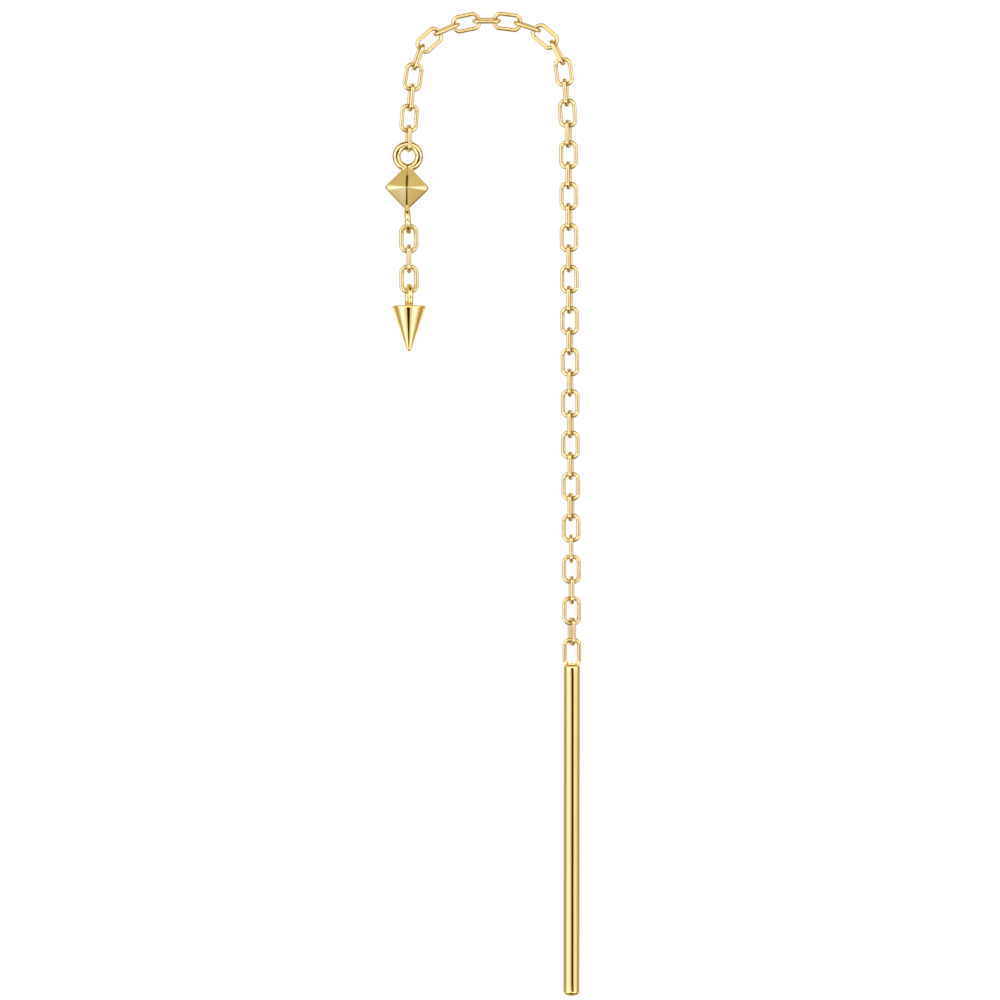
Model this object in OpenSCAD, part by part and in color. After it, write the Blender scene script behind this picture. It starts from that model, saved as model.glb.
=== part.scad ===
// Threader earring: a cable chain over the ear lobe with a straight bar at one end
// and a ring, pyramid, short chain and spike at the other, shown as it hangs.
// Millimetres. X runs across the picture, -Y towards the viewer, Z up.
// The origin is the underside of the chain's middle link, where the ear lobe carries it.

/* [Chain link] */
// Thickness of the chain's wire
wire_d = 0.24; // [0.18:0.01:0.28]
// Outer width of a chain link
link_w = 1.12; // [1:0.02:1.4]
// Length that each link adds to the chain
link_pitch = 1.25; // [1.1:0.05:1.8]
// Radius of a link's bends, at the middle of its wire
link_bend_r = 0.25; // [0.16:0.01:0.34]
// Gap between two links that hold each other
link_play = 0.1; // [0.1:0.01:0.16]

/* [Chain] */
// Number of links in the straight strand above the bar
strand_links = 25; // [3:2:41]
// Lean of the straight strand from the level, in degrees
strand_lean = 89.6; // [86:0.1:92]

/* [Threader bar] */
// Diameter of the bar
bar_d = 1; // [0.8:0.05:1.2]
// Length of the bar
bar_l = 20; // [12:0.5:30]
// Height of the dome at the bar's free end
bar_dome_h = 0.3; // [0.1:0.02:0.5]
// Radius of the rounding at the bar's top
bar_round_r = 0.3; // [0.1:0.02:0.38]
// Depth to which the end link is sunk into the bar
bar_link_sink = 0.18; // [0.12:0.01:0.22]

/* [Front ring] */
// Outer diameter of the front ring
ring_d = 1.86; // [1.5:0.02:2.4]
// Thickness of the front ring's wire
ring_wire_d = 0.46; // [0.3:0.01:0.5]
// Depth to which the pyramid's corner is sunk into the front ring
ring_sink = 0.33; // [0.2:0.01:0.38]

/* [Pyramid] */
// Size of the pyramid from corner to corner
pyramid_d = 2.6; // [1.6:0.1:4]
// Height of the four sloping faces
pyramid_h = 0.8; // [0.4:0.05:1.6]
// Thickness of the base under the faces
pyramid_base = 0.3; // [0.2:0.02:0.5]
// Distance from the middle of the chain to the front of the base
pyramid_forward = 0.2; // [0.1:0.01:0.22]
// Width of the flats that soften the ridges and corners
pyramid_flat_w = 0.2; // [0.06:0.02:0.4]

/* [Small rings] */
// Outer diameter of the two small rings
small_ring_d = 1.7; // [1.5:0.02:2.2]
// Thickness of the small rings' wire
small_ring_wire_d = 0.36; // [0.26:0.01:0.4]
// Depth to which the pyramid's lower corner is sunk into its small ring
small_ring_sink = 0.19; // [0.1:0.01:0.22]
// Turn of the spike's ring about the upright, in degrees
eye_turn = -8; // [-20:1:20]

/* [Drop chain] */
// Number of loose links between the pyramid and the spike
drop_links = 3; // [1:2:9]
// Thickness of these links' wire
drop_wire_d = 0.3; // [0.2:0.01:0.34]
// Outer width of these links
drop_link_w = 1.16; // [1.1:0.02:1.4]
// Length that each of these links adds
drop_pitch = 1.25; // [1.15:0.01:1.8]
// Radius of these links' bends, at the middle of the wire
drop_bend_r = 0.36; // [0.2:0.01:0.4]

/* [Spike] */
// Diameter of the spike at its widest
spike_d = 2.06; // [1.4:0.02:3]
// Length of the spike
spike_l = 2.75; // [2:0.05:6]
// Radius of the spike's top rim
spike_rim_r = 0.21; // [0.08:0.01:0.3]
// Radius of the spike's tip
spike_tip_r = 0.14; // [0.05:0.01:0.18]
// Depth to which the ring is sunk into the spike's top
eye_sink = 0.34; // [0.2:0.01:0.36]

/* [Hidden] */
$fn = 48;

// Lean of each link of the arch from the level, in degrees, from the middle link outwards:
// first towards the bar, then towards the front drop
ARCH_LEANS = [
    [7, 19, 40, 63, 83, 85, 86],
    [12, 24, 42, 70, 82, 85, 86, 90]];

// Half width and half length of a link along the middle of its wire
link_half_w = (link_w - wire_d) / 2;
link_half_l = (link_pitch + wire_d + link_play) / 2;
drop_half_w = (drop_link_w - drop_wire_d) / 2;
drop_half_l = (drop_pitch + drop_wire_d + link_play) / 2;

// Leans of all links from the middle link to the bar, and to the front drop
bar_leans = concat(ARCH_LEANS[0], [for (i = [1:strand_links]) strand_lean]);
drop_leans = ARCH_LEANS[1];

// Point where link number n of a list of leans holds the next one, as X and Z
function joint_at(leans, n) =
    n == 0 ? [link_pitch / 2, wire_d / 2]
    : joint_at(leans, n - 1) + link_pitch * [cos(leans[n - 1]), -sin(leans[n - 1])];

// Points where the strands hold the bar and the front drop
bar_joint = joint_at(bar_leans, len(bar_leans));
drop_joint = joint_at(drop_leans, len(drop_leans));
drop_x = -drop_joint[0];

// Heights of the pieces under the bar's strand
end_link_z = bar_joint[1] - link_pitch / 2;
bar_top_z = end_link_z - link_half_l - wire_d / 2 + bar_link_sink;

// Heights of the pieces of the front drop, from the chain downwards
ring_z = drop_joint[1] + link_play / 2 + ring_wire_d - ring_d / 2;
pyramid_z = ring_z - ring_d / 2 + ring_sink - pyramid_d / 2;
lower_ring_z = pyramid_z - pyramid_d / 2 + small_ring_sink - small_ring_d / 2;
drop_chain_top_z = lower_ring_z - small_ring_d / 2 + small_ring_wire_d + link_play / 2;
eye_joint_z = drop_chain_top_z - drop_links * drop_pitch;
eye_z = eye_joint_z + link_play / 2 + small_ring_wire_d - small_ring_d / 2;
spike_top_z = eye_z - small_ring_d / 2 + eye_sink;

// Bar and spike as turned profiles
module bar_profile() {
    corner = [bar_d / 2 - bar_round_r, bar_l - bar_round_r];
    polygon(concat(
        [for (a = [-90:15:0]) [bar_d / 2 * cos(a), bar_dome_h * (1 + sin(a))]],
        [for (a = [0:15:90]) corner + bar_round_r * [cos(a), sin(a)]],
        [[0, bar_l]]));
}

module spike_profile() {
    rim = [spike_d / 2 - spike_rim_r, spike_l - spike_rim_r];
    reach = norm(rim - [0, spike_tip_r]);
    // Angle at which the slanting side touches both the tip's and the rim's rounding
    side = -atan2(rim[0], rim[1] - spike_tip_r) - asin((spike_rim_r - spike_tip_r) / reach);
    polygon(concat(
        [[0, 0]],
        [for (i = [1:4]) let (a = -90 + (side + 90) * i / 4)
            [spike_tip_r * cos(a), spike_tip_r * (1 + sin(a))]],
        [for (i = [0:8]) let (a = side + (90 - side) * i / 8) rim + spike_rim_r * [cos(a), sin(a)]],
        [[0, spike_l]]));
}

// One bend of a link: a quarter of a ring about Y
module bend(r, d, start) {
    rotate([90, 0, 0])
        rotate_extrude(angle = 90, start = start)
            translate([r, 0])
                circle(d = d);
}

// A link that stands in the XZ plane, centred on the origin, as four bends and four straights
module link(half_w, half_l, d, r) {
    for (corner = [[1, 1, 0], [-1, 1, 90], [-1, -1, 180], [1, -1, 270]])
        translate([corner[0] * (half_w - r), 0, corner[1] * (half_l - r)])
            bend(r, d, corner[2]);
    for (side = [-1, 1]) {
        translate([side * half_w, 0, 0])
            cylinder(d = d, h = 2 * (half_l - r), center = true);
        translate([0, 0, side * half_l])
            rotate([0, 90, 0])
                cylinder(d = d, h = 2 * (half_w - r), center = true);
    }
}

module chain_link() {
    link(link_half_w, link_half_l, wire_d, link_bend_r);
}

module drop_link() {
    link(drop_half_w, drop_half_l, drop_wire_d, drop_bend_r);
}

// A closed ring of wire that stands in the XZ plane
module wire_ring(outer_d, d) {
    rotate([90, 0, 0])
        rotate_extrude()
            translate([(outer_d - d) / 2, 0])
                circle(d = d);
}

// Links from the middle link outwards, each turned a quarter against the one before it
module strand(leans) {
    for (i = [1:len(leans)]) {
        middle = (joint_at(leans, i - 1) + joint_at(leans, i)) / 2;
        translate([middle[0], 0, middle[1]])
            rotate([0, leans[i - 1] + 90, 0])
                rotate([0, 0, i % 2 == 0 ? 90 : 0])
                    chain_link();
    }
}

module threader_bar() {
    color("gold") {
        translate([bar_joint[0], 0, bar_top_z - bar_l])
            rotate_extrude()
                bar_profile();
        translate([bar_joint[0], 0, end_link_z])
            chain_link();
    }
}

module cable_chain() {
    color("khaki") {
        translate([0, 0, wire_d / 2])
            rotate([0, 90, 0])
                rotate([0, 0, 90])
                    chain_link();
        strand(bar_leans);
        mirror([1, 0, 0])
            strand(drop_leans);
    }
}

// A long gabled roof on the pyramid's base, with its ridge along Y
module roof(width, height) {
    rotate([90, 0, 0])
        linear_extrude(height = 2 * pyramid_d, center = true)
            polygon([
                [-width / 2, 0], [-width / 2, pyramid_base], [0, pyramid_base + height],
                [width / 2, pyramid_base], [width / 2, 0]]);
}

// What four crossing roofs share: two give the faces, two flatten the ridges and corners
module pyramid() {
    sharp_d = pyramid_d + pyramid_flat_w;
    sharp_h = pyramid_h * sharp_d / pyramid_d;
    intersection() {
        rotate([0, 0, 45])
            roof(sharp_d / sqrt(2), sharp_h);
        rotate([0, 0, -45])
            roof(sharp_d / sqrt(2), sharp_h);
        roof(pyramid_d, pyramid_h);
        rotate([0, 0, 90])
            roof(pyramid_d, pyramid_h);
    }
}

module pyramid_drop() {
    color("goldenrod")
        translate([drop_x, 0, 0]) {
            translate([0, 0, ring_z])
                wire_ring(ring_d, ring_wire_d);
            translate([0, pyramid_base - pyramid_forward, pyramid_z])
                rotate([90, 0, 0])
                    pyramid();
            translate([0, 0, lower_ring_z])
                rotate([0, 0, 90])
                    wire_ring(small_ring_d, small_ring_wire_d);
        }
}

module drop_chain() {
    color("khaki")
        for (i = [1:drop_links])
            translate([drop_x, 0, drop_chain_top_z - (i - 0.5) * drop_pitch])
                rotate([0, 0, i % 2 == 0 ? 90 : 0])
                    drop_link();
}

module spike_drop() {
    color("gold")
        translate([drop_x, 0, 0]) {
            translate([0, 0, spike_top_z - spike_l])
                rotate_extrude()
                    spike_profile();
            translate([0, 0, eye_z])
                rotate([0, 0, 90 - eye_turn])
                    wire_ring(small_ring_d, small_ring_wire_d);
        }
}

threader_bar();
cable_chain();
pyramid_drop();
drop_chain();
spike_drop();
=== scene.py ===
"""Threader earring in yellow gold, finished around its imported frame.

A fine cable chain lies over the ear lobe. At one end it carries the straight bar that is threaded
through the piercing, at the other a ring with a small pyramid, a short chain and a spike.

Sizes are millimetres in the part's own frame: X across the picture, -Y towards the viewer, Z up,
with the origin under the chain's middle link. Finished meshes are in metres, as the frame is.
"""

import logging
from dataclasses import dataclass, field
from enum import Enum

import bmesh
import bpy
import numpy as np
from mathutils import Matrix, Vector


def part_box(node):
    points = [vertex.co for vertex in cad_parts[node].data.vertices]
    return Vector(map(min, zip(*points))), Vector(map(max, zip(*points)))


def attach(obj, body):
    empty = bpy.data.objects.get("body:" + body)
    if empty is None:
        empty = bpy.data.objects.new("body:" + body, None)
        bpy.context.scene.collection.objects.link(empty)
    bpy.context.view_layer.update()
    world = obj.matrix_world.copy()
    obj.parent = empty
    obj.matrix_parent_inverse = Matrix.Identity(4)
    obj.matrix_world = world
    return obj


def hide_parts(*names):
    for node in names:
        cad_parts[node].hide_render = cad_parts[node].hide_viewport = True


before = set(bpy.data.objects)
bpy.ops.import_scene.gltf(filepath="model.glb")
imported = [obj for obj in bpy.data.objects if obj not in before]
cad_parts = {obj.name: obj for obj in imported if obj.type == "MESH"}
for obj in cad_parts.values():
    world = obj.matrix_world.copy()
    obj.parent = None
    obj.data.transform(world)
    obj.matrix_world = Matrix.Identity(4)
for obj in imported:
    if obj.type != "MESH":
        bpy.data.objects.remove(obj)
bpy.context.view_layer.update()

Array = np.ndarray
Tree = bpy.types.NodeTree
Socket = bpy.types.NodeSocket
Material = bpy.types.Material
Mesh = bpy.types.Mesh

log = logging.getLogger("threader_earring")

METRES = 0.001
# Points that lie closer than this become one, in millimetres
MERGE_GAP = 1e-5
# Faces that meet at a larger angle than this form a seam between soldered parts, in degrees
SEAM_ANGLE = 30
# Share of the way to its neighbours' mean that a point on a seam moves in each round
SEAM_STEP = 0.5
# Distance at which the painted shade by a held ring or link falls to about a third, in millimetres
PAINTED_SHADE_REACH = 0.24
FLAT_MAP = "along_and_around"
# Name of the point value that carries the painted shade between parts that hold each other
PAINTED_SHADE = "painted_shade"
ACROSS = np.array([1.0, 0.0, 0.0])
AWAY = np.array([0.0, 1.0, 0.0])
UP = np.array([0.0, 0.0, 1.0])
WHITE = (1.0, 1.0, 1.0, 1.0)
# Points around a small ring and around its wire, and around a bead of solder
SMALL_RING_SIDES = (120, 32)
BEAD_SIDES = 40


class Body(str, Enum):
    """The bodies of the frame that the pieces ride on."""

    CHAIN = "chain"
    BAR = "bar"
    DROP = "front_drop"


class Slot(str, Enum):
    """The record's finishes."""

    POLISHED = "polished_gold"
    CHAIN = "chain_gold"
    SOFT = "soft_polished_gold"


def once_around(count: int) -> Array:
    """Evenly spaced angles of a full turn, in radians, without the last that meets the first."""
    return np.linspace(0, 2 * np.pi, count, endpoint=False)


def bell(distance: Array, reach: float) -> Array:
    """Falls from 1 to about a third at the reach, as exp(-(distance / reach) squared)."""
    return np.exp(-((distance / reach) ** 2))


def in_millimetres(box: tuple) -> tuple[Array, Array]:
    """The lowest and the highest corner of one of the frame's boxes, in millimetres."""
    return np.array(box[0]) / METRES, np.array(box[1]) / METRES


def linear(colour: str) -> tuple[float, float, float, float]:
    """Linear light of a screen colour.

    Args:
        colour: sRGB as a hex value such as "#F5D98E".

    Returns:
        Red, green, blue and an alpha of 1.
    """
    screen = np.array([int(colour[i : i + 2], 16) for i in (1, 3, 5)]) / 255
    light = np.where(screen <= 0.04045, screen / 12.92, ((screen + 0.055) / 1.055) ** 2.4)
    return (*light.tolist(), 1.0)


def emptied_tree(owner: Material | bpy.types.World) -> Tree:
    """Clears the nodes of a material or world.

    Args:
        owner: The material or world.

    Returns:
        Its node tree, empty.
    """
    owner.use_nodes = True
    owner.node_tree.nodes.clear()
    return owner.node_tree


def add_node(
    tree: Tree, kind: str, inputs: dict[str | int, object] | None = None, **settings: object
) -> bpy.types.Node:
    """Adds one node with its settings and inputs.

    Args:
        tree: The tree that gets the node.
        kind: Blender's name of the node type, without the start that they all share.
        inputs: A constant value or another node's output, by socket name or number.
        **settings: Properties of the node itself.

    Returns:
        The new node.
    """
    node = tree.nodes.new(f"ShaderNode{kind}")
    for name, setting in settings.items():
        setattr(node, name, setting)
    for name, value in (inputs or {}).items():
        if isinstance(value, Socket):
            tree.links.new(value, node.inputs[name])
        else:
            node.inputs[name].default_value = value
    return node


def mixed(tree: Tree, factor: Socket, start: object, end: object) -> Socket:
    """A mix of two colours, each a constant or another node's output."""
    inputs = {"Factor": factor, "A": start, "B": end}
    return add_node(tree, "Mix", inputs, data_type="RGBA").outputs["Result"]


def calculated(tree: Tree, operation: str, *terms: Socket | float) -> Socket:
    """One step of arithmetic on sockets and numbers."""
    return add_node(tree, "Math", dict(enumerate(terms)), operation=operation).outputs[0]


def add_object(name: str, data: bpy.types.ID) -> bpy.types.Object:
    """Adds an object to the scene.

    Args:
        name: Name of the object.
        data: Its mesh or camera.

    Returns:
        The object, at the origin.
    """
    thing = bpy.data.objects.new(name, data)
    bpy.context.scene.collection.objects.link(thing)
    return thing


@dataclass
class Surface:
    """A closed surface of four-cornered faces.

    Attributes:
        points: Places of the points, in millimetres.
        faces: Four point numbers for each face.
        flat: Millimetres along and around the surface at each face corner, which patterns follow.
    """

    points: Array
    faces: Array
    flat: Array

    @classmethod
    def from_grids(cls, grids: Array, along: Array, around: Array) -> "Surface":
        """Surfaces over grids of points, each wound into a tube by its columns.

        Point [row, column] is joined to the next row and the next column. The columns always close,
        and the rows close as well where along has one value more than there are rows.

        Args:
            grids: Points with the shape (pieces, rows, columns, 3).
            along: Distance of each row along the surface.
            around: Distance of each column around it, with the full turn as a last value.

        Returns:
            All the pieces as one surface.
        """
        pieces, rows, columns = grids.shape[:3]
        line = np.arange(len(along) - 1)[:, None]
        column = np.arange(columns)[None, :]
        corners = [(line, column), (line, column + 1), (line + 1, column + 1), (line + 1, column)]
        faces = np.stack([r % rows * columns + c % columns for r, c in corners], axis=-1)
        places = [np.broadcast_arrays(along[r], around[c]) for r, c in corners]
        flat = np.stack([np.stack(place, axis=-1) for place in places], axis=-2)
        first = (np.arange(pieces) * rows * columns)[:, None, None]
        return cls(
            grids.reshape(-1, 3),
            (faces.reshape(1, -1, 4) + first).reshape(-1, 4),
            np.tile(flat.reshape(-1, 4, 2), (pieces, 1, 1)),
        )


def steps_along(points: Array) -> Array:
    """Distance of each point of a line from its first point, measured along the line."""
    lengths = np.linalg.norm(np.diff(points, axis=0), axis=-1)
    return np.concatenate([[0.0], np.cumsum(lengths)])


def revolved(profile: Array, centre: Array, sides: int) -> Surface:
    """A profile turned once about an upright axis.

    The point at height h and angle a lies at the centre plus (r(h) cos a, r(h) sin a, h).

    Args:
        profile: Rows of radius and height, from the axis to the axis.
        centre: Foot of the axis.
        sides: Number of columns around.

    Returns:
        The turned surface, closed at both poles.
    """
    turn = once_around(sides)
    radius, height = profile[:, 0, None], profile[:, 1, None]
    circles = [radius * np.cos(turn), radius * np.sin(turn), height + 0 * turn]
    grid = np.stack(circles, axis=-1) + centre
    around = np.linspace(0, 2 * np.pi, sides + 1) * profile[:, 0].max()
    return Surface.from_grids(grid[None], steps_along(profile), around)


def arc(centre: Array, radius: float, start: float, end: float, count: int) -> Array:
    """Points of an arc in a profile, from one angle to another in degrees."""
    angle = np.radians(np.linspace(start, end, count))
    return centre + radius * np.stack([np.cos(angle), np.sin(angle)], axis=-1)


def ring_of_wire(
    centre: Array, outer_d: float, wire_d: float, across: Array, sides: tuple[int, int]
) -> Surface:
    """A closed ring of round wire that stands upright.

    With a around the ring and b around the wire, a point lies at the centre plus
    (R + r cos b) times the direction (cos a across + sin a up), plus r sin b along the ring's axis.

    Args:
        centre: Middle of the ring.
        outer_d: Outer diameter of the ring.
        wire_d: Thickness of the wire.
        across: Level direction in the ring's plane.
        sides: Number of points around the ring and around the wire.

    Returns:
        The ring's surface.
    """
    ring_turn = once_around(sides[0])[:, None, None]
    wire_turn = once_around(sides[1])[None, :, None]
    wire_r = wire_d / 2
    middle_r = (outer_d - wire_d) / 2
    outward = np.cos(ring_turn) * across + np.sin(ring_turn) * UP
    from_axis = (middle_r + wire_r * np.cos(wire_turn)) * outward
    grid = centre + from_axis + wire_r * np.sin(wire_turn) * np.cross(across, UP)
    along = np.linspace(0, 2 * np.pi * middle_r, sides[0] + 1)
    around = np.linspace(0, 2 * np.pi * wire_r, sides[1] + 1)
    return Surface.from_grids(grid[None], along, around)


def bead(centre: Array, radii: tuple[float, float, float]) -> Surface:
    """A small run of solder: a ball with a radius of its own along each axis.

    Args:
        centre: Middle of the bead.
        radii: Its radii along X, Y and Z.

    Returns:
        The bead's surface.
    """
    ball = revolved(arc(np.zeros(2), 1.0, -90, 90, BEAD_SIDES // 2 + 1), np.zeros(3), BEAD_SIDES)
    return Surface(centre + ball.points * np.array(radii), ball.faces, ball.flat * max(radii))


@dataclass(frozen=True)
class LinkShape:
    """One link of cable chain: a closed loop of round wire, eight-sided with soft corners."""

    # Thickness of the wire and outer width of the link
    wire_d: float
    width: float
    # Stretch that each slanting corner takes off the loop's ends, and radius of its bends, both
    # measured along the wire's middle
    corner: float
    bend_r: float
    bends: int = 8
    bend_rows: int = 6
    wire_sides: int = 16
    # Share by which the wire is thicker where its ends are soldered, and reach of that swell
    seam_swell: float = 0.05
    seam_reach: float = 0.07

    @property
    def half_width(self) -> float:
        """Half width of the loop along the wire's middle."""
        return (self.width - self.wire_d) / 2

    def corner_places(self, half_length: Array) -> Array:
        """Middles of the eight bends, counted round the loop from its right side.

        The loop's edges face 0, 45 and 90 degrees and so on. A bend's middle is the point that is
        one bend radius inside two neighbouring edges.

        Args:
            half_length: Half length of each loop along the wire's middle.

        Returns:
            Places across and along each loop, with the shape (loops, 8, 2).
        """
        side = np.full_like(half_length, self.half_width - self.bend_r)
        end = half_length - self.bend_r
        slant = (side + end + 2 * self.bend_r - self.corner) - np.sqrt(2) * self.bend_r
        low = np.stack([side, slant - side], axis=-1)
        high = np.stack([slant - end, end], axis=-1)
        there = np.stack([low, high], axis=1)
        back = there[:, ::-1]
        return np.concatenate([there, back * [-1, 1], there * [-1, -1], back * [1, -1]], axis=1)

    def surface(self, starts: Array, ends: Array, turns: Array) -> Surface:
        """Links between pairs of points at which they hold their neighbours.

        A loop's middle line is the middle of a bend plus the bend radius in the direction t, for t
        from 0 to 360 degrees. The wire's circle adds its radius times cos w in that same direction
        and its radius times sin w at right angles to the loop.

        Args:
            starts: Points that the links touch from inside at their first ends.
            ends: Points that they touch at their other ends.
            turns: Turn of each link about its own length, from lying in the picture, in radians.

        Returns:
            All the links as one surface.
        """
        wire_r = self.wire_d / 2
        reach = np.linalg.norm(ends - starts, axis=-1)
        half_length = reach / 2 + wire_r
        long_way = (ends - starts) / reach[:, None]
        in_picture = np.cross(AWAY, long_way)
        wide_way = in_picture * np.cos(turns)[:, None] + AWAY * np.sin(turns)[:, None]
        through = np.cross(wide_way, long_way)

        bend_angle = 360 / self.bends
        bend = np.arange(self.bends).repeat(self.bend_rows)
        bend_turn = np.radians(np.linspace(0, bend_angle, self.bend_rows))
        loop_turn = np.tile(bend_turn, self.bends) + np.radians(bend_angle) * bend
        wire_turn = once_around(self.wire_sides)
        outward = np.stack([np.cos(loop_turn), np.sin(loop_turn)], axis=-1)
        middle_line = self.corner_places(half_length)[:, bend] + self.bend_r * outward

        from_seam = np.linalg.norm(middle_line - np.array([self.half_width, 0.0]), axis=-1)
        radius = (wire_r * (1 + self.seam_swell * bell(from_seam, self.seam_reach)))[:, :, None]
        on_wire = (radius * np.cos(wire_turn))[..., None] * outward[:, None]
        in_plane = middle_line[:, :, None] + on_wire
        off_plane = radius * np.sin(wire_turn)
        grids = (
            ((starts + ends) / 2)[:, None, None]
            + in_plane[..., :1] * wide_way[:, None, None]
            + in_plane[..., 1:] * long_way[:, None, None]
            + off_plane[..., None] * through[:, None, None]
        )
        along = steps_along(np.vstack([middle_line[0], middle_line[0, :1]]))
        around = np.linspace(0, 2 * np.pi * wire_r, self.wire_sides + 1)
        return Surface.from_grids(grids, along, around)


def mesh_from(name: str, surface: Surface) -> Mesh:
    """Makes a mesh in millimetres, with closed poles and faces that point outwards.

    Args:
        name: Name of the mesh.
        surface: The surface, of pieces that keep apart or only touch.

    Returns:
        The mesh, with the flat distances as its UV map.
    """
    mesh = bpy.data.meshes.new(name)
    mesh.from_pydata(surface.points.tolist(), [], surface.faces.tolist())
    flat = surface.flat.astype(np.float32).ravel()
    mesh.uv_layers.new(name=FLAT_MAP).data.foreach_set("uv", flat)
    work = bmesh.new()
    work.from_mesh(mesh)
    bmesh.ops.remove_doubles(work, verts=work.verts, dist=MERGE_GAP)
    bmesh.ops.recalc_face_normals(work, faces=work.faces)
    work.to_mesh(mesh)
    work.free()
    mesh.shade_smooth()
    return mesh


def places_of(mesh: Mesh) -> Array:
    """Places of a mesh's points.

    Args:
        mesh: The mesh.

    Returns:
        One row of X, Y and Z for each point.
    """
    places = np.zeros(len(mesh.vertices) * 3, np.float32)
    mesh.vertices.foreach_get("co", places)
    return places.reshape(-1, 3)


def nearest(places: Array, others: Array) -> Array:
    """Distance from each place to the nearest of the others."""
    return np.linalg.norm(places[:, None] - others[None], axis=-1).min(axis=1)


def soldered(name: str, parts: list[Surface], reach: float, rounds: int) -> Mesh:
    """Joins closed parts that run into each other into one body, with a soft seam where they meet.

    Args:
        name: Name of the mesh.
        parts: The closed surfaces, the largest first.
        reach: Distance from a seam within which the metal is softened.
        rounds: How many times those points move to the middle of their neighbours.

    Returns:
        One mesh in millimetres, with nothing left inside it.
    """
    holders = [add_object(f"{name}_part", mesh_from(name, part)) for part in parts]
    for holder in holders[1:]:
        join = holders[0].modifiers.new("solder", "BOOLEAN")
        join.operation = "UNION"
        join.solver = "MANIFOLD"
        join.object = holder
    graph = bpy.context.evaluated_depsgraph_get()
    mesh = bpy.data.meshes.new_from_object(holders[0].evaluated_get(graph))
    for holder in holders:
        bpy.data.objects.remove(holder)
    soften_seams(mesh, reach, rounds)
    mesh.shade_smooth()
    return mesh


def soften_seams(mesh: Mesh, reach: float, rounds: int) -> None:
    """Turns the sharp seams between soldered parts into small hollow fillets.

    Each point near a seam moves part of the way to the mean of its neighbours, again and again, and
    the less the farther it lies from the seam.

    Args:
        mesh: The joined mesh, changed in place.
        reach: Distance from a seam within which points move, in millimetres.
        rounds: Number of rounds.
    """
    work = bmesh.new()
    work.from_mesh(mesh)
    bmesh.ops.dissolve_degenerate(work, dist=MERGE_GAP, edges=work.edges)
    between_two = [edge for edge in work.edges if len(edge.link_faces) == 2]
    sharp = [edge for edge in between_two if edge.calc_face_angle() > np.radians(SEAM_ANGLE)]
    seam = {v for edge in sharp for v in edge.verts}
    seam_places = np.array([v.co for v in seam]).reshape(-1, 3)
    work.to_mesh(mesh)
    work.free()

    places = places_of(mesh).astype(float)
    edges = np.zeros(len(mesh.edges) * 2, np.int32)
    mesh.edges.foreach_get("vertices", edges)
    edges = edges.reshape(-1, 2)
    share = np.clip(1 - nearest(places, seam_places) / reach, 0, 1)[:, None] ** 0.5
    neighbours = np.bincount(edges.ravel(), minlength=len(places))[:, None]
    for _ in range(rounds):
        total = np.zeros_like(places)
        np.add.at(total, edges[:, 0], places[edges[:, 1]])
        np.add.at(total, edges[:, 1], places[edges[:, 0]])
        places += SEAM_STEP * share * (total / neighbours - places)
    mesh.vertices.foreach_set("co", places.astype(np.float32).ravel())
    mesh.update()


def mark_painted_shade(mesh: Mesh, holds: Array) -> None:
    """Marks how much painted shade each point gets from the ring or link that it holds.

    Args:
        mesh: The mesh, in millimetres, which gets the mark as a value of its points.
        holds: Places at which the piece holds others.
    """
    mark = mesh.attributes.new(PAINTED_SHADE, "FLOAT", "POINT")
    painted_shade = bell(nearest(places_of(mesh), holds), PAINTED_SHADE_REACH)
    mark.data.foreach_set("value", painted_shade.astype(np.float32))


def hand_over(
    name: str, mesh: Mesh, holds: Array, finish: Material, body: Body, node: str
) -> None:
    """Makes a finished mesh a piece of the scene that stands for one node of the frame.

    Args:
        name: Name of the piece.
        mesh: Its mesh, in millimetres.
        holds: Places at which it holds other pieces or its own links hold each other.
        finish: Its material.
        body: Body that it rides on.
        node: Node that it replaces.
    """
    # Painted shade round the places where pieces hold each other, which the material turns browner
    mark_painted_shade(mesh, holds)
    mesh.transform(Matrix.Scale(METRES, 4))
    mesh.materials.clear()
    mesh.materials.append(finish)
    piece = add_object(name, mesh)
    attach(piece, body.value)
    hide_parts(node)
    triangles = sum(len(p.vertices) - 2 for p in mesh.polygons)
    log.info("%s: %d triangles, rides on %s", name, triangles, body.value)


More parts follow.
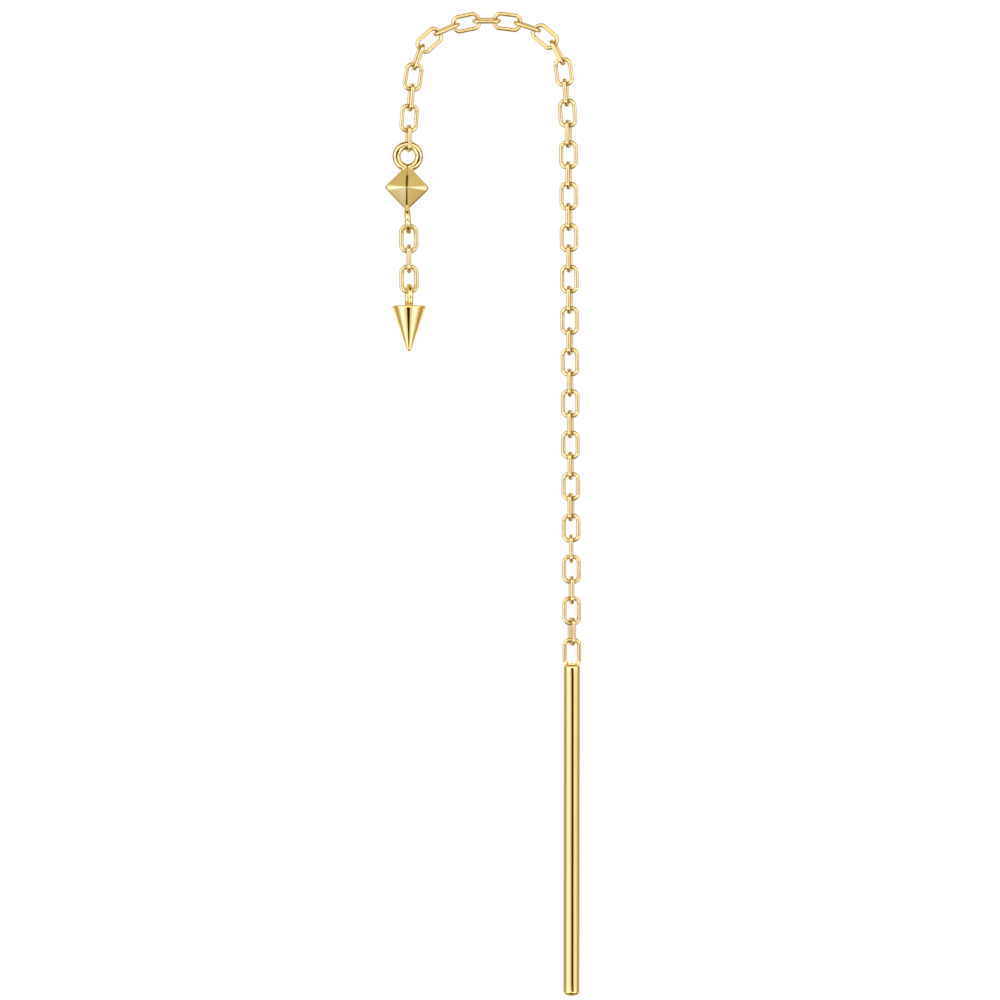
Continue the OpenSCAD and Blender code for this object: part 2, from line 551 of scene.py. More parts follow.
@dataclass(frozen=True)
class PolishedGold:
    """Yellow gold alloy, drawn or turned to shape and then polished on a wheel.

    It mirrors the studio with sharp edges. Fine lines of the shaping stay under the polish, closer
    together than the picture shows, so they are drawn a little coarser. The alloy's colour drifts
    very slightly, and handling leaves faint hairlines that open the mirror here and there. Where
    one ring or link holds the next, shade is painted into the colour as a browner gold.
    """

    name: str = "yellow_gold_mirror_polished"
    # Colour where it mirrors most cleanly, where it is richer, and painted shade where pieces hold
    pale: str = "#F8DA89"
    deep: str = "#F1CF7D"
    painted_shade_colour: str = "#80591A"
    # Roughness of the clean mirror, and what gathered hairlines add to it
    roughness: float = 0.05
    haze: float = 0.07
    # Heights of the shaping lines, from 0 to 1, at which that haze sets in and is full
    haze_from: float = 0.55
    haze_full: float = 0.8
    # Distance between two shaping lines, their length and their depth, in millimetres
    line_gap: float = 0.05
    line_run: float = 3.0
    line_depth: float = 0.0004
    # Size of the patches in which the colour drifts, in millimetres
    drift_size: float = 2.5

    def colour(self, tree: Tree) -> Socket:
        """The alloy's colour, which drifts with the place, with painted shade where pieces hold.

        Args:
            tree: The material's node tree.

        Returns:
            The colour.
        """
        place = add_node(tree, "TexCoord").outputs["Object"]
        size = 1 / (self.drift_size * METRES)
        grain = {"Vector": place, "Scale": size, "Detail": 3.0, "Roughness": 0.5}
        drift = add_node(tree, "TexNoise", grain).outputs["Fac"]
        # Painted shade: browner gold near the places where pieces hold each other
        contact_shaded = add_node(tree, "Attribute", attribute_name=PAINTED_SHADE).outputs["Fac"]
        clean = mixed(tree, drift, linear(self.pale), linear(self.deep))
        return mixed(tree, contact_shaded, clean, linear(self.painted_shade_colour))

    def lines(self, tree: Tree) -> Socket:
        """The shaping lines as a noise that is long along the surface and short around it.

        Args:
            tree: The material's node tree.

        Returns:
            Height of the lines, from 0 to 1.
        """
        flat = add_node(tree, "UVMap", uv_map=FLAT_MAP).outputs["UV"]
        scale = (1 / self.line_run, 1 / self.line_gap, 1.0)
        stretched = add_node(tree, "Mapping", {"Vector": flat, "Scale": scale})
        place = stretched.outputs["Vector"]
        grain = {"Vector": place, "Scale": 1.0, "Detail": 4.0, "Roughness": 0.55}
        return add_node(tree, "TexNoise", grain, noise_dimensions="2D").outputs["Fac"]

    def material(self) -> Material:
        """Makes the finish, which follows the surface by its flat distances.

        Returns:
            The material.
        """
        material = bpy.data.materials.new(self.name)
        tree = emptied_tree(material)
        lines = self.lines(tree)
        heights = {"From Min": self.haze_from, "From Max": self.haze_full}
        sharpness = {"To Min": self.roughness, "To Max": self.roughness + self.haze}
        hazed = {"Value": lines, **heights, **sharpness}
        depth = {"Height": lines, "Strength": 1.0, "Distance": self.line_depth * METRES}
        look = {
            "Metallic": 1.0,
            "Base Color": self.colour(tree),
            "Roughness": add_node(tree, "MapRange", hazed).outputs["Result"],
            "Normal": add_node(tree, "Bump", depth).outputs["Normal"],
        }
        shader = add_node(tree, "BsdfPrincipled", look)
        add_node(tree, "OutputMaterial", {"Surface": shader.outputs["BSDF"]})
        return material


@dataclass(frozen=True)
class Stop:
    """Light at one azimuth: a strength and a colour.

    Azimuth 0 is where the viewer stands, and positive azimuths lie to the viewer's right.
    """

    azimuth: float
    strength: float
    colour: str = "#FFFFFF"


@dataclass(frozen=True)
class Row:
    """Light all round at one elevation, both in degrees."""

    elevation: float
    stops: tuple[Stop, ...]


def row(elevation: float, *stops: tuple) -> Row:
    """A row of stops, each given as azimuth, strength and, where it isn't white, colour."""
    return Row(elevation, tuple(Stop(*stop) for stop in stops))


def even_row(elevation: float, *stops: tuple) -> Row:
    """A row that is the same to the left and right, given from its middle to azimuth 180."""
    left = [(-azimuth, *light) for azimuth, *light in reversed(stops) if azimuth]
    return row(elevation, *left, *stops)


@dataclass(frozen=True)
class Flag:
    """A dark card that keeps light from part of the surroundings, in degrees.

    Its middle runs through the azimuth, which moves by lean degrees for each degree of elevation.
    The light is the strength that is left of each colour.
    """

    azimuth: float
    half_width: float
    elevation: float
    half_height: float
    light: tuple[float, float, float]
    lean: float


@dataclass
class Studio:
    """Plain soft studio: light cards around the piece, a pale floor and the camera.

    Polished gold shows nothing but what stands around it, so the light is described all round,
    row by row from below upwards. Two cool soft boxes stand to the left and right of the viewer;
    the dark cards are the viewer's own side and the gaps between the boxes.
    """

    rows: tuple[Row, ...] = (
        even_row(-90, (180, 0.12, "#FFD890")),
        even_row(-58, (0, 0.04, "#FFC050"), (90, 0.25, "#FFE0A0"), (180, 0.8)),
        row(
            -44,
            (-180, 0.5), (-110, 0.6), (-84, 0.64), (-70, 0.8), (-45, 1.3), (-20, 1.0), (20, 1.0),
            (48, 1.3), (66, 0.9, "#FFF6DC"), (80, 0.6, "#FFF6DC"), (100, 0.42, "#FFF0C0"),
            (112, 0.2, "#FFE6B0"), (180, 0.5, "#FFE6B0"),
        ),
        row(
            -33,
            (-180, 1.2), (-150, 0.6), (-107, 0.5, "#FFF2DC"), (-95, 0.75), (-80, 1.3, "#CDD4FF"),
            (-64, 3.2, "#C8D0FF"), (-46, 3.3, "#C8D0FF"), (-36, 1.8, "#C8D0FF"), (-27, 0.9),
            (20, 0.95), (28, 1.5, "#D2D8FF"), (37, 3.3, "#C8D0FF"), (54, 3.3, "#C8D0FF"),
            (64, 2.1, "#C8D0FF"), (78, 1.0, "#F0F0FF"), (96, 0.6, "#FFE6C4"),
            (107, 0.25, "#FFE0A8"), (155, 0.2, "#FFE0A8"), (180, 1.2),
        ),
        row(
            -18,
            (-180, 1.4), (-128, 1.3), (-117, 0.5, "#FFF2DC"), (-96, 0.5, "#FFF2DC"), (-80, 0.8),
            (-66, 3.2, "#CAD4FF"), (-46, 2.4, "#DCE2FF"), (0, 2.6, "#E8ECFF"), (44, 2.4, "#DCE2FF"),
            (66, 3.2, "#CAD4FF"), (80, 0.75), (96, 0.5, "#FFF0D8"), (117, 0.4, "#FFE6C0"),
            (130, 1.2), (180, 1.4),
        ),
        row(
            -3,
            (-180, 1.15), (-152, 1.1), (-128, 0.5), (-100, 0.44), (-86, 0.48),
            (-75, 1.1, "#DDE2FF"), (-64, 2.2, "#BECCFF"), (-40, 2.45, "#BECCFF"),
            (-25, 1.8, "#C0D2FF"), (-8, 0.9, "#F0F2FF"), (26, 1.1), (40, 1.7, "#D2D6FF"),
            (62, 1.7, "#D2D6FF"), (76, 0.9), (97, 0.52, "#FFEFE2"), (122, 0.38), (140, 0.6),
            (158, 1.1), (180, 1.15),
        ),
        row(
            9,
            (-180, 1.2), (-152, 1.1), (-128, 0.4), (-100, 0.45), (-84, 1.0), (-70, 3.4, "#CAD4FF"),
            (-40, 2.7, "#CAD2FF"), (-22, 1.4, "#E0E6FF"), (30, 1.2, "#F0F2FF"),
            (44, 2.2, "#CAD2FF"), (72, 3.5, "#C2CEFF"), (84, 1.0), (104, 0.45, "#FFEFE2"),
            (126, 0.36), (150, 0.9), (180, 1.2),
        ),
        even_row(
            22,
            (0, 2.8, "#E8ECFF"), (46, 2.3, "#DCE2FF"), (66, 2.4, "#CAD4FF"), (96, 0.45, "#FFEFD0"),
            (126, 0.4, "#FFEFD0"), (150, 1.1), (180, 1.3),
        ),
        even_row(
            42,
            (48, 1.5, "#FFF6E6"), (66, 0.94, "#FFF8E0"), (102, 0.92, "#FFF8E0"), (128, 0.5),
            (150, 0.9), (180, 1.2),
        ),
        row(
            62,
            (-180, 0.9), (-90, 0.3, "#FFE0A0"), (14, 0.03, "#FFC050"), (90, 0.3, "#FFE0A0"),
            (180, 0.9),
        ),
        even_row(90, (180, 0.3, "#FFE6B0")),
    )
    flags: tuple[Flag, ...] = (
        Flag(-4, 13, -41, 10, (0.03, 0.012, 0.001), 0.2),
        Flag(8, 16, 0, 11, (0.1, 0.035, 0.002), -1.2),
    )
    # Half width of the soft margin along a card's sides and along its ends, in degrees
    flag_side_soft: float = 4.0
    flag_end_soft: float = 5.0
    # Strength that a full ramp colour stands for
    full: float = 3.6
    # Height and radius of the floor, points around it and rows of them
    floor_z: float = -70.0
    floor_r: float = 112.0
    floor_sides: int = 96
    floor_rows: int = 24
    # Share of plain white light in the floor's middle, and share of its radius at which it fades
    # into that alone
    floor_glow: float = 0.4
    floor_fade: float = 0.97
    # Place of the camera, focal length and sensor
    camera_at: tuple[float, float, float] = (0.805, -335.0, -28.78)
    lens: float = 200.0
    sensor_w: float = 36.0

    def ramp(self, tree: Tree, stops: tuple[Stop, ...], turn: Socket) -> Socket:
        """The light of one row over the azimuth.

        Args:
            tree: The world's node tree.
            stops: The row's stops from azimuth -180 to 180.
            turn: Azimuth as a share of the full turn, from 0 to 1.

        Returns:
            The light as a share of the full strength.
        """
        node = add_node(tree, "ValToRGB", {"Fac": turn})
        elements = node.color_ramp.elements
        while len(elements) < len(stops):
            elements.new(0.5)
        for element, stop in zip(elements, stops):
            light = np.array(linear(stop.colour)[:3]) * stop.strength / self.full
            element.color = (*light.tolist(), 1.0)
        for element, stop in zip(elements, stops):
            element.position = (stop.azimuth + 180) / 360
        return node.outputs["Color"]

    def share(self, tree: Tree, value: Socket, low: float, high: float) -> Socket:
        """How far an angle has gone from one limit, in degrees, to another, as a smooth step."""
        inputs = {"Value": value, "From Min": np.radians(low), "From Max": np.radians(high)}
        step = add_node(tree, "MapRange", inputs, interpolation_type="SMOOTHSTEP")
        return step.outputs["Result"]

    def flagged(
        self, tree: Tree, light: Socket, flag: Flag, azimuth: Socket, elevation: Socket
    ) -> Socket:
        """The light with a dark card in front of it.

        Args:
            tree: The world's node tree.
            light: Colour of the light behind the card.
            flag: The card.
            azimuth: Azimuth in radians.
            elevation: Elevation in radians.

        Returns:
            Colour of the light with the card.
        """
        rise = calculated(tree, "SUBTRACT", elevation, np.radians(flag.elevation))
        middle = calculated(tree, "MULTIPLY_ADD", rise, flag.lean, np.radians(flag.azimuth))
        aside = calculated(tree, "ABSOLUTE", calculated(tree, "SUBTRACT", azimuth, middle))
        away = calculated(tree, "ABSOLUTE", rise)
        width, side = flag.half_width, self.flag_side_soft
        height, end = flag.half_height, self.flag_end_soft
        in_width = self.share(tree, aside, width + side, width - side)
        in_height = self.share(tree, away, height + end, height - end)
        dark = (*(part / self.full for part in flag.light), 1.0)
        return mixed(tree, calculated(tree, "MULTIPLY", in_width, in_height), light, dark)

    def build_world(self) -> None:
        """The light all round, seen by everything but the camera, which sees plain white."""
        world = bpy.data.worlds.new("studio")
        bpy.context.scene.world = world
        tree = emptied_tree(world)
        look = add_node(tree, "TexCoord").outputs["Generated"]
        axes = add_node(tree, "SeparateXYZ", {"Vector": look}).outputs
        towards = calculated(tree, "MULTIPLY", axes["Y"], -1.0)
        azimuth = calculated(tree, "ARCTAN2", axes["X"], towards)
        elevation = calculated(tree, "ARCSINE", axes["Z"])
        turn = calculated(tree, "MULTIPLY_ADD", azimuth, 1 / (2 * np.pi), 0.5)
        light = self.ramp(tree, self.rows[0].stops, turn)
        for under, over in zip(self.rows, self.rows[1:]):
            factor = self.share(tree, elevation, under.elevation, over.elevation)
            light = mixed(tree, factor, light, self.ramp(tree, over.stops, turn))
        for flag in self.flags:
            light = self.flagged(tree, light, flag, azimuth, elevation)
        glow = add_node(tree, "Background", {"Color": light, "Strength": self.full})
        plain = add_node(tree, "Background", {"Color": WHITE, "Strength": 1.0})
        by_camera = add_node(tree, "LightPath").outputs["Is Camera Ray"]
        choice = {0: by_camera, 1: glow.outputs[0], 2: plain.outputs[0]}
        both = add_node(tree, "MixShader", choice)
        add_node(tree, "OutputWorld", {"Surface": both.outputs[0]})

    def build_floor(self) -> None:
        """A plain pale floor well below the piece, which fades into the white round its rim."""
        profile = np.linspace((0.0, 0.0), (self.floor_r, 0.0), self.floor_rows)
        disc = revolved(profile, self.floor_z * UP, self.floor_sides)
        mesh = mesh_from("studio_floor", disc)
        mesh.transform(Matrix.Scale(METRES, 4))
        mesh.materials.append(self.floor_paint())
        floor = add_object("studio_floor", mesh)
        floor.visible_glossy = False

    def floor_paint(self) -> Material:
        """Matt pale paint that fades into plain white light towards the rim.

        Returns:
            The material.
        """
        material = bpy.data.materials.new("matt_pale_floor_paint")
        tree = emptied_tree(material)
        place = add_node(tree, "TexCoord").outputs["Object"]
        flat = {0: place, 1: (1.0, 1.0, 0.0)}
        level = add_node(tree, "VectorMath", flat, operation="MULTIPLY").outputs["Vector"]
        reach = add_node(tree, "VectorMath", {0: level}, operation="LENGTH")
        rim = self.floor_fade * self.floor_r * METRES
        limits = {"Value": reach.outputs["Value"], "From Max": rim, "To Min": self.floor_glow}
        fade = add_node(tree, "MapRange", limits, interpolation_type="SMOOTHSTEP")
        paint = add_node(tree, "BsdfDiffuse", {"Color": linear("#FFFAEE")})
        white = add_node(tree, "Emission", {"Color": WHITE, "Strength": 1.0})
        choice = {0: fade.outputs["Result"], 1: paint.outputs[0], 2: white.outputs[0]}
        both = add_node(tree, "MixShader", choice)
        add_node(tree, "OutputMaterial", {"Surface": both.outputs[0]})
        return material

    def build_camera(self) -> None:
        """A long lens straight in front of the piece, at the middle of its height."""
        data = bpy.data.cameras.new("product_camera")
        data.sensor_width = self.sensor_w
        data.lens = self.lens
        data.clip_start = 0.01
        data.clip_end = 5.0
        camera = add_object("product_camera", data)
        camera.location = Vector(self.camera_at) * METRES
        camera.rotation_euler = (np.radians(90), 0.0, 0.0)
        bpy.context.scene.camera = camera

    def build(self) -> None:
        """Sets up the light, the floor, the camera and a plain tone curve."""
        self.build_world()
        self.build_floor()
        self.build_camera()
        bpy.context.scene.view_settings.view_transform = "Standard"
        bpy.context.scene.view_settings.look = "None"


@dataclass
class CableChain:
    """The loose links from the bar's end link over the lobe to the front ring."""

    link: LinkShape = LinkShape(wire_d=0.25, width=1.14, corner=0.2, bend_r=0.2)
    # Length that each link adds to the chain
    pitch: float = 1.25
    # Lean of each link of the arch from the level, in degrees, from the middle link outwards
    arch_to_bar: tuple[float, ...] = (7, 19, 40, 63, 83, 85, 86)
    arch_to_drop: tuple[float, ...] = (12, 24, 42, 70, 82, 85, 86, 90)
    # Number of links in the straight strand above the bar, and its lean
    strand_links: int = 25
    strand_lean: float = 89.6
    # How much higher the front ring hangs than the last link's full length allows
    ring_gap: float = 0.05
    # Turn of the whole chain about its own length in degrees, how far it wanders from link to
    # link, and the steps in radians of the two waves that it wanders by
    twist: float = 12.0
    twist_swing: float = 4.0
    swing_steps: tuple[float, float] = (2.4, 0.7)
    # The turn where the chain meets the bar, and the number of links over which it changes to that
    end_twist: float = -12.0
    end_twist_links: int = 6

    def strand(self, leans: tuple[float, ...], side: int) -> Array:
        """Points where the links of one strand hold each other, from the middle link outwards.

        Each point lies one pitch from the last, down along its link's lean.

        Args:
            leans: Lean of each link from the level, in degrees.
            side: 1 towards the bar, -1 towards the front drop.

        Returns:
            The points, one more than there are links.
        """
        lean = np.radians(leans)
        steps = self.pitch * np.stack([np.cos(lean), 0 * lean, -np.sin(lean)], axis=-1)
        start = np.array([self.pitch / 2, 0.0, self.link.wire_d / 2])
        points = start + np.vstack([np.zeros(3), np.cumsum(steps, axis=0)])
        return points * [side, 1, 1]

    def joints(self) -> Array:
        """Points where links hold each other.

        Returns:
            The points, from the front ring to the bar's end link.
        """
        to_bar = self.strand(self.arch_to_bar + (self.strand_lean,) * self.strand_links, 1)
        to_drop = self.strand(self.arch_to_drop, -1)
        to_drop[-1] += self.ring_gap * UP
        return np.vstack([to_drop[::-1], to_bar])

    def turns(self, count: int) -> Array:
        """Turn of each link about its own length, every other one a quarter more.

        The chain's twist changes to the end twist by a smooth step, plus the product of two waves.

        Args:
            count: Number of links.

        Returns:
            The turns, in radians.
        """
        number = np.arange(count)
        from_end = np.clip((count - 1 - number) / self.end_twist_links, 0, 1)
        twist = self.end_twist + (self.twist - self.end_twist) * from_end**2 * (3 - 2 * from_end)
        fast, slow = self.swing_steps
        twist += self.twist_swing * np.sin(fast * number) * np.cos(slow * number)
        return np.radians(90 * (number % 2 == 0) + twist)

    def build(self, finish: Material) -> None:
        """Makes the chain as one mesh of links that touch where they hold each other.

        Args:
            finish: Material of the wire.
        """
        name = "cable_chain_links"
        joints = self.joints()
        surface = self.link.surface(joints[:-1], joints[1:], self.turns(len(joints) - 1))
        mesh = mesh_from(name, surface)
        hand_over(name, mesh, joints, finish, Body.CHAIN, "cable_chain")


@dataclass
class ThreaderBar:
    """The straight bar that goes through the piercing, with the end link soldered into its top."""

    # Shape of the end link, and the point where it holds the chain
    link: LinkShape
    hold: Array
    # Depth to which that link is sunk into the bar, and distance from the hold to its lowest point
    sink: float = 0.18
    link_reach: float = 1.54
    # Height of the dome at the free end, and radius of the rounding at the top
    dome_h: float = 0.3
    round_r: float = 0.22
    # Reach and height of the solder round the end link's foot
    solder_r: float = 0.2
    solder_h: float = 0.12
    # Turn of the end link about the upright, in degrees
    twist: float = -12.0
    # How far the bar hangs aside for each millimetre below the hold
    lean: float = -0.0016
    # Points around the bar, and rows of them over dome, side, rounding and top
    sides: int = 96
    rows: tuple[int, ...] = (30, 40, 14, 14)

    def profile(self, radius: float, length: float) -> Array:
        """The bar's outline from its foot to the middle of its top, with the mound of solder there.

        Args:
            radius: Radius of the bar.
            length: Length of the bar.

        Returns:
            Rows of radius and height.
        """
        dome_rows, side_rows, edge_rows, top_rows = self.rows
        turn = np.radians(np.linspace(0, 90, dome_rows))
        dome = np.stack([radius * np.sin(turn), self.dome_h * (1 - np.cos(turn))], axis=-1)
        corner = np.array([radius - self.round_r, length - self.round_r])
        edge = arc(corner, self.round_r, 0, 90, edge_rows)
        side = np.linspace(dome[-1], edge[0], side_rows)[1:-1]
        top = np.linspace(edge[-1], (0.0, length), top_rows)[1:]
        outline = np.vstack([dome, side, edge, top])
        upper = outline[:, 1] > length / 2
        outline[upper, 1] += self.solder_h * bell(outline[upper, 0], self.solder_r)
        return outline

    def build(self, finish: Material) -> None:
        """Makes bar, solder and end link as one body.

        Args:
            finish: Material of the polished metal.
        """
        name = "threader_bar_polished"
        low, high = in_millimetres(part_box("threader_bar"))
        link_foot = self.hold - self.link_reach * UP
        sunk_end = link_foot + self.link.wire_d * UP
        foot = np.array([self.hold[0], 0.0, low[2]])
        bar_l = link_foot[2] + self.sink - low[2]
        bar = revolved(self.profile((high[1] - low[1]) / 2, bar_l), foot, self.sides)
        bar.points[:, 0] += self.lean * (self.hold[2] - bar.points[:, 2])
        twist = np.radians([self.twist])
        end_link = self.link.surface(sunk_end[None], self.hold[None], twist)
        mesh = soldered(name, [bar, end_link], reach=0.07, rounds=8)
        holds = self.hold[None]
        hand_over(name, mesh, holds, finish, Body.BAR, "threader_bar")


@dataclass
class PyramidDrop:
    """The front ring, the pyramid under it and the small ring under that, soldered into one."""

    # Front ring: outer diameter, wire, depth of the pyramid's corner in it, points around it
    ring_d: float = 1.86
    ring_wire_d: float = 0.5
    ring_sink: float = 0.33
    ring_sides: tuple[int, int] = (144, 36)
    # Distance from the pyramid's middle to its corners, height of its sloping faces, and the
    # share of that height by which they swell
    corner_r: float = 1.3
    peak_h: float = 0.82
    fullness: float = 0.05
    # How far the upright ridge is softened. Just under the height crisp_at above the peak this
    # falls to a small share of itself, over the stretch crisp_over
    upright_soft: float = 0.11
    crisp_at: float = 1.06
    crisp_over: float = 0.35
    crisp_share: float = 0.08
    # How far the level ridge is softened at its ends, and the share of that at the peak
    level_soft: float = 0.2
    level_least: float = 0.02
    # Turn of the pyramid in the picture in degrees, the right corner down
    tilt: float = 1.3
    # Front and back of the pyramid's base, and radii of its rim and of its back edge
    front_y: float = -0.2
    back_y: float = 0.1
    rim_r: float = 0.26
    back_rim_r: float = 0.06
    # Rounds in which the outline is found, points along a quarter of it, and how far these gather
    # at its corners, from 0 to 1
    outline_rounds: int = 20
    quarter_points: int = 44
    gathering: float = 0.86
    # Share of the face, from the peak outwards, that gets closer rows of points, and the number
    # of rows there, on the rest of the face, and over the rim, the back edge and the back
    peak_share: float = 0.2
    rows: tuple[int, ...] = (12, 26, 9, 7, 8)
    # Small ring: outer diameter, wire, and how far it leans aside over its height
    small_d: float = 1.7
    small_wire_d: float = 0.36
    small_lean: float = 0.1
    # Solder above the pyramid: radii, and height of its middle above the front ring's lowest point
    top_bead: tuple[float, float, float] = (0.36, 0.17, 0.12)
    top_bead_rise: float = 0.06
    # Solder below it: radii, and depth of its middle under the small ring's highest point
    foot_bead: tuple[float, float, float] = (0.19, 0.19, 0.16)
    foot_bead_drop: float = 0.17
    # How far the drop hangs beside its place in the frame, and the pyramid beside the front ring
    aside: float = -0.04
    pyramid_aside: float = -0.045
    top: Array = field(init=False)
    foot: Array = field(init=False)

    def __post_init__(self) -> None:
        """Takes the drop's highest and lowest points from the frame."""
        low, high = in_millimetres(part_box("pyramid_drop"))
        x = (low[0] + high[0]) / 2 + self.aside
        self.top = np.array([x, 0.0, high[2]])
        self.foot = np.array([x + self.pyramid_aside, 0.0, low[2]])

    @property
    def hold(self) -> Array:
        """Point inside the small ring from which the drop chain hangs."""
        return self.foot + self.small_wire_d * UP + self.small_lean * ACROSS

    def softened(self, distance: Array, soft: Array) -> Array:
        """Distance d from a ridge, and (d squared over e, plus e) / 2 within its softness e."""
        away = np.abs(distance)
        return np.where(away < soft, (away**2 / soft + soft) / 2, away)

    def fall(self, across: Array, up: Array) -> Array:
        """How far the face has fallen from the peak, as the sum of the distances from both ridges.

        Args:
            across: Distance to the right of the peak.
            up: Distance above the peak.

        Returns:
            The fall, in the same measure as the distances.
        """
        crispness = np.clip((self.crisp_at - up) / self.crisp_over, self.crisp_share, 1)
        level_soft = self.level_soft * (self.level_least + np.abs(across) / self.corner_r)
        upright = self.softened(across, self.upright_soft * crispness)
        return upright + self.softened(up, level_soft)

    def outline(self, turn: Array) -> Array:
        """Reach of the base's outline in each direction.

        The face has fallen as far there as at the side corners. The reach is scaled by what it
        still lacks of that, round after round.

        Args:
            turn: Directions about the pyramid's middle.

        Returns:
            Distance from the middle in each direction.
        """
        whole = self.fall(np.array([self.corner_r]), np.zeros(1))
        reach = np.full_like(turn, self.corner_r)
        for _ in range(self.outline_rounds):
            reach = reach * whole / self.fall(reach * np.cos(turn), reach * np.sin(turn))
        return reach

    def pyramid(self) -> Surface:
        """The four-sided pyramid with soft ridges, a rounded rim and a flat back.

        At share q of the outline in direction t, m is how far the face has fallen there over how
        far it has at the outline. It stands above the base by the peak's height times (1 - m)
        (1 + fullness m). Past the face comes the rim, an arc that starts with the face's own slope,
        and then the wall and the back.

        Returns:
            The pyramid's surface.
        """
        peak_rows, face_rows, rim_rows, edge_rows, back_rows = self.rows
        quarter = np.linspace(0, 1, self.quarter_points, endpoint=False)
        gathered = quarter - self.gathering / (2 * np.pi) * np.sin(2 * np.pi * quarter)
        turn = np.concatenate([gathered + side for side in range(4)]) * np.pi / 2
        reach = self.outline(turn)
        inner_r = reach.min()
        slope = np.arctan(self.peak_h / inner_r)

        near_peak = np.linspace(0, self.peak_share, peak_rows)[:-1]
        to_rim = np.linspace(self.peak_share, 1, face_rows)
        face_end = 1 - self.rim_r * (1 - np.sin(slope)) / inner_r
        face_share = face_end * np.concatenate([near_peak, to_rim])[:, None]
        place = face_share * reach
        down = self.fall(place * np.cos(turn), place * np.sin(turn))
        down = down / self.fall(reach * np.cos(turn), reach * np.sin(turn))
        face = self.front_y - self.peak_h * (1 - down) * (1 + self.fullness * down)

        rim_turn = np.linspace(slope, np.pi / 2, rim_rows)[1:, None]
        rim_share = 1 - self.rim_r * (1 - np.sin(rim_turn)) / inner_r
        rim = face[-1] + self.rim_r * (np.cos(slope) - np.cos(rim_turn))
        back_turn = np.linspace(0, np.pi / 2, edge_rows)[:, None]
        edge_share = 1 - self.back_rim_r * (1 - np.cos(back_turn)) / inner_r
        edge = self.back_y - self.back_rim_r * (1 - np.sin(back_turn)) + 0 * turn
        back_share = np.linspace(edge_share[-1, 0], 0, back_rows)[1:, None]
        back = np.full((len(back_share), len(turn)), self.back_y)

        outward = np.vstack([face_share, rim_share, edge_share, back_share]) * reach
        depths = np.vstack([face, rim, edge, back])
        tilted = turn - np.radians(self.tilt)
        grid = np.stack([outward * np.cos(tilted), depths, outward * np.sin(tilted)], axis=-1)
        below_top = self.ring_d - self.ring_sink + self.corner_r
        centre = self.top - below_top * UP + self.pyramid_aside * ACROSS
        around = np.append(turn, 2 * np.pi) * inner_r
        return Surface.from_grids((grid + centre)[None], steps_along(grid[:, 0]), around)

    def rings(self) -> list[Surface]:
        """The upright front ring and the small ring, which leans a little.

        Returns:
            Both surfaces.
        """
        middle = self.top - self.ring_d / 2 * UP
        front = ring_of_wire(middle, self.ring_d, self.ring_wire_d, ACROSS, self.ring_sides)
        middle = self.foot + self.small_d / 2 * UP
        small = ring_of_wire(middle, self.small_d, self.small_wire_d, AWAY, SMALL_RING_SIDES)
        below = self.foot[2] + self.small_d - small.points[:, 2]
        small.points[:, 0] += self.small_lean * below / self.small_d
        return [front, small]

    def build(self, finish: Material) -> None:
        """Makes rings, pyramid and solder as one body.

        Args:
            finish: Material of the cast metal.
        """
        name = "pyramid_drop_cast"
        top_solder = bead(self.top - (self.ring_d - self.top_bead_rise) * UP, self.top_bead)
        foot_solder = bead(self.foot + (self.small_d - self.foot_bead_drop) * UP, self.foot_bead)
        parts = [self.pyramid(), *self.rings(), top_solder, foot_solder]
        mesh = soldered(name, parts, reach=0.09, rounds=10)
        holds = np.stack([self.top - self.ring_wire_d * UP, self.hold])
        hand_over(name, mesh, holds, finish, Body.DROP, "pyramid_drop")


@dataclass
class DropChain:
    """The three loose links between the small ring and the spike."""

    # Points that the links touch inside the small ring and inside the spike's ring
    high: Array
    low: Array
    link: LinkShape = LinkShape(wire_d=0.28, width=1.16, corner=0.22, bend_r=0.26)
    links: int = 3
    # Turn of the links about the upright, in degrees
    twist: float = -2.0

    def build(self, finish: Material) -> None:
        """Makes the links as one mesh; the first and the last lie in the picture.

        Args:
            finish: Material of the wire.
        """
        name = "drop_chain_links"
        part = np.linspace(0, 1, self.links + 1)[:, None]
        joints = self.high + part * (self.low - self.high)
        turns = np.radians(90 * (np.arange(self.links) % 2 == 1) + self.twist)
        mesh = mesh_from(name, self.link.surface(joints[:-1], joints[1:], turns))
        hand_over(name, mesh, joints, finish, Body.DROP, "drop_chain")


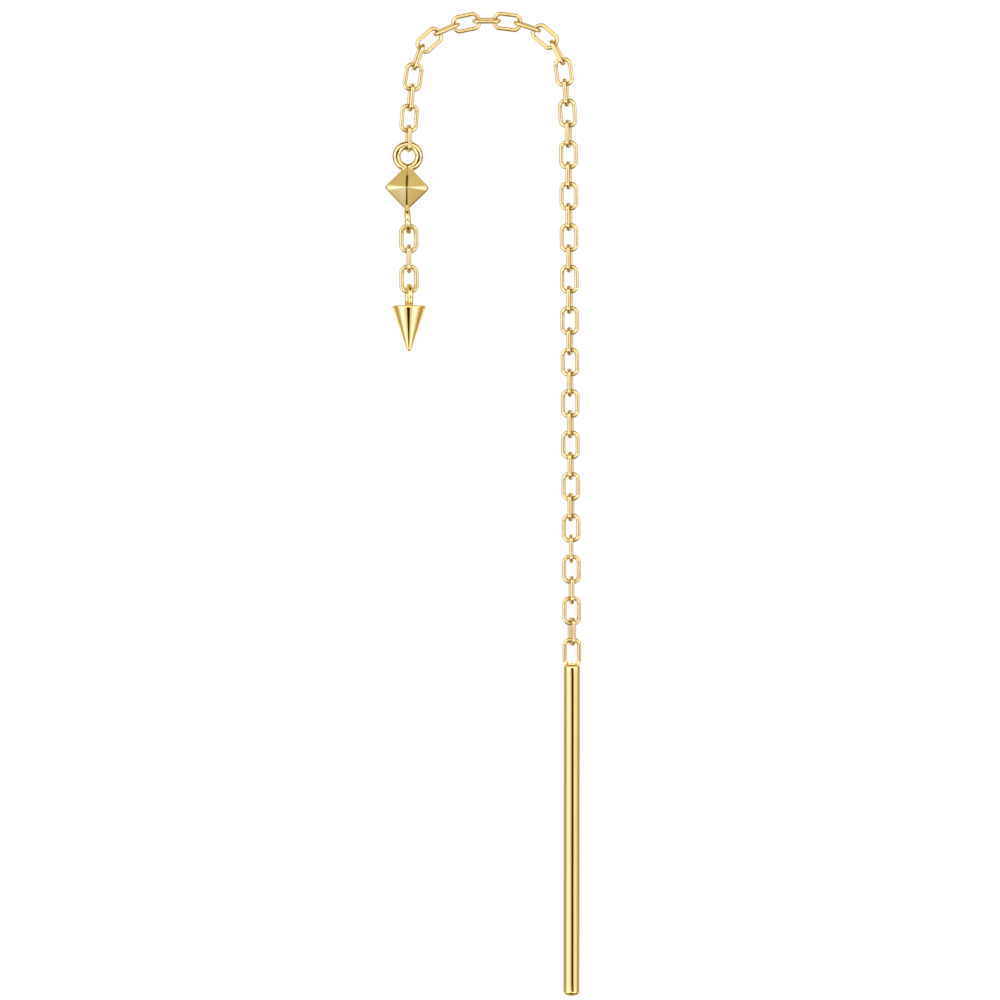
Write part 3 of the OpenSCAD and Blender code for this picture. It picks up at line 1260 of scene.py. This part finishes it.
@dataclass
class SpikeDrop:
    """The turned spike with its ring soldered into the flat top."""

    # Length of the spike without its ring
    length: float = 2.75
    # Ring: outer diameter, wire, and turn about the upright in degrees
    eye_d: float = 1.7
    eye_wire_d: float = 0.36
    eye_turn: float = -8.0
    # Radii of the top rim and of the tip
    rim_r: float = 0.1
    tip_r: float = 0.14
    # Distance by which the spike hangs beside its place in the frame
    aside: float = 0.035
    # Reach and height of the solder round the ring's foot
    solder_r: float = 0.3
    solder_h: float = 0.07
    # Points around the spike, and rows of them over tip, side, rim and top
    sides: int = 96
    rows: tuple[int, ...] = (9, 40, 16, 30)
    radius: float = field(init=False)
    top: Array = field(init=False)
    tip: Array = field(init=False)

    def __post_init__(self) -> None:
        """Takes the spike's radius and its highest and lowest points from the frame."""
        low, high = in_millimetres(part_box("spike_drop"))
        x = (low[0] + high[0]) / 2 + self.aside
        self.radius = (high[0] - low[0]) / 2
        self.top = np.array([x, 0.0, high[2]])
        self.tip = np.array([x, 0.0, low[2]])

    @property
    def hold(self) -> Array:
        """Point inside the ring from which the spike hangs."""
        return self.top - self.eye_wire_d * UP

    def profile(self) -> Array:
        """The spike's outline from its tip to the middle of its top, with the solder's mound there.

        The straight flank touches the tip's arc and the rim's arc. It leans from the upright by the
        slope between the two arcs' middles plus the angle that their difference in radius adds.

        Returns:
            Rows of radius and height.
        """
        point_rows, side_rows, rim_rows, top_rows = self.rows
        point_middle = np.array([0.0, self.tip_r])
        rim_middle = np.array([self.radius - self.rim_r, self.length - self.rim_r])
        rise = rim_middle - point_middle
        widening = np.arcsin((self.rim_r - self.tip_r) / np.linalg.norm(rise))
        flank = -np.degrees(np.arctan2(rise[0], rise[1]) + widening)
        point = arc(point_middle, self.tip_r, -90, flank, point_rows)
        rim = arc(rim_middle, self.rim_r, flank, 90, rim_rows)
        side = np.linspace(point[-1], rim[0], side_rows)[1:-1]
        top = np.linspace(rim[-1], (0.0, self.length), top_rows)[1:]
        top[:, 1] += self.solder_h * bell(top[:, 0], self.solder_r)
        return np.vstack([point, side, rim, top])

    def build(self, finish: Material) -> None:
        """Makes spike, ring and solder as one body.

        Args:
            finish: Material of the polished metal.
        """
        name = "spike_drop_turned"
        spike = revolved(self.profile(), self.tip, self.sides)
        turn = np.radians(self.eye_turn)
        across = np.array([np.sin(turn), np.cos(turn), 0.0])
        middle = self.top - self.eye_d / 2 * UP
        eye = ring_of_wire(middle, self.eye_d, self.eye_wire_d, across, SMALL_RING_SIDES)
        mesh = soldered(name, [spike, eye], reach=0.08, rounds=8)
        holds = self.hold[None]
        hand_over(name, mesh, holds, finish, Body.DROP, "spike_drop")


def main() -> None:
    """Builds the studio and the earring's pieces in order."""
    logging.basicConfig(level=logging.INFO, format="%(name)s: %(message)s")
    Studio().build()

    # Bar and spike mirror the studio sharply, as long pale and dark stripes
    mirror = PolishedGold().material()
    # Drawing and tumbling leave the wire bright but soft, so a link shines without a sharp image
    wire_gold = PolishedGold(
        name="yellow_gold_drawn_and_tumbled_wire",
        pale="#F7DB94",
        deep="#EECF85",
        roughness=0.22,
        haze=0.04,
        line_gap=0.06,
        line_run=8.0,
        line_depth=0.00005,
    ).material()
    # Casting leaves a fine grain under the polish, so each face of the pyramid takes one calm tone
    soft_gold = PolishedGold(
        name="yellow_gold_cast_and_softly_polished",
        pale="#E8CF8A",
        deep="#E2C57D",
        roughness=0.07,
        line_gap=0.08,
        line_run=0.3,
    ).material()

    chain = CableChain()
    chain.build(wire_gold)
    ThreaderBar(chain.link, chain.joints()[-1]).build(mirror)
    drop = PyramidDrop()
    drop.build(soft_gold)
    spike = SpikeDrop()
    DropChain(drop.hold, spike.hold).build(wire_gold)
    spike.build(mirror)


if __name__ == "__main__":
    main()
